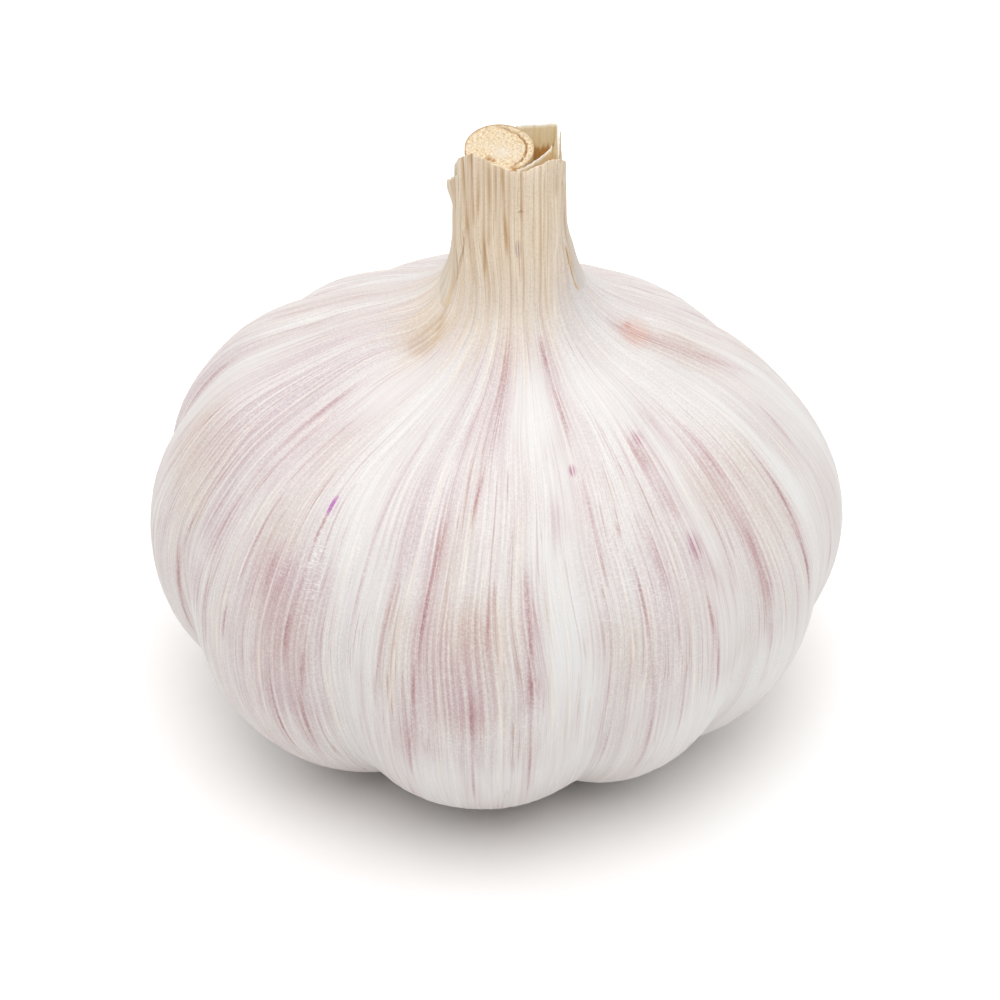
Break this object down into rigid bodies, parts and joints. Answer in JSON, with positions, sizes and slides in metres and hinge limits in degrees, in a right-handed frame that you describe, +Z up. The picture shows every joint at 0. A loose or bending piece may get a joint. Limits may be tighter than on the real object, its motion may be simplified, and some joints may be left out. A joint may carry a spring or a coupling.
{
  "type": "garlic bulb",
  "caption": "Whole garlic bulb: lobed cloves in streaked paper skin, standing on its root plate, with a dry neck and a cut flower stalk.",
  "frame": {"origin": "middle of the root plate's flat underside, which the bulb stands on", "axes": "+Z up along the neck, -Y towards the front, +X to the right seen from the front"},
  "size_m": [0.0601, 0.0595, 0.0563],
  "materials": {
    "bulb_paper": "dry papery skin, white to pale pink with mauve streaks, satin",
    "stalk_pith": "dry granular pith with a thin brown rim, matte",
    "sheath_paper": "dry ribbed leaf base, straw coloured, matte",
    "neck_leaf": "dry ribbed leaf, tan, matte",
    "root_wood": "dry root plate with trimmed roots, matte brown"
  },
  "bodies": {
    "root": {"wrapped_bulb": "bulb_paper", "flower_stalk": "stalk_pith", "inner_sheath": "sheath_paper", "left_neck_leaf": "neck_leaf", "right_neck_leaf": "neck_leaf", "root_plate": "root_wood"}
  },
  "joints": []
}
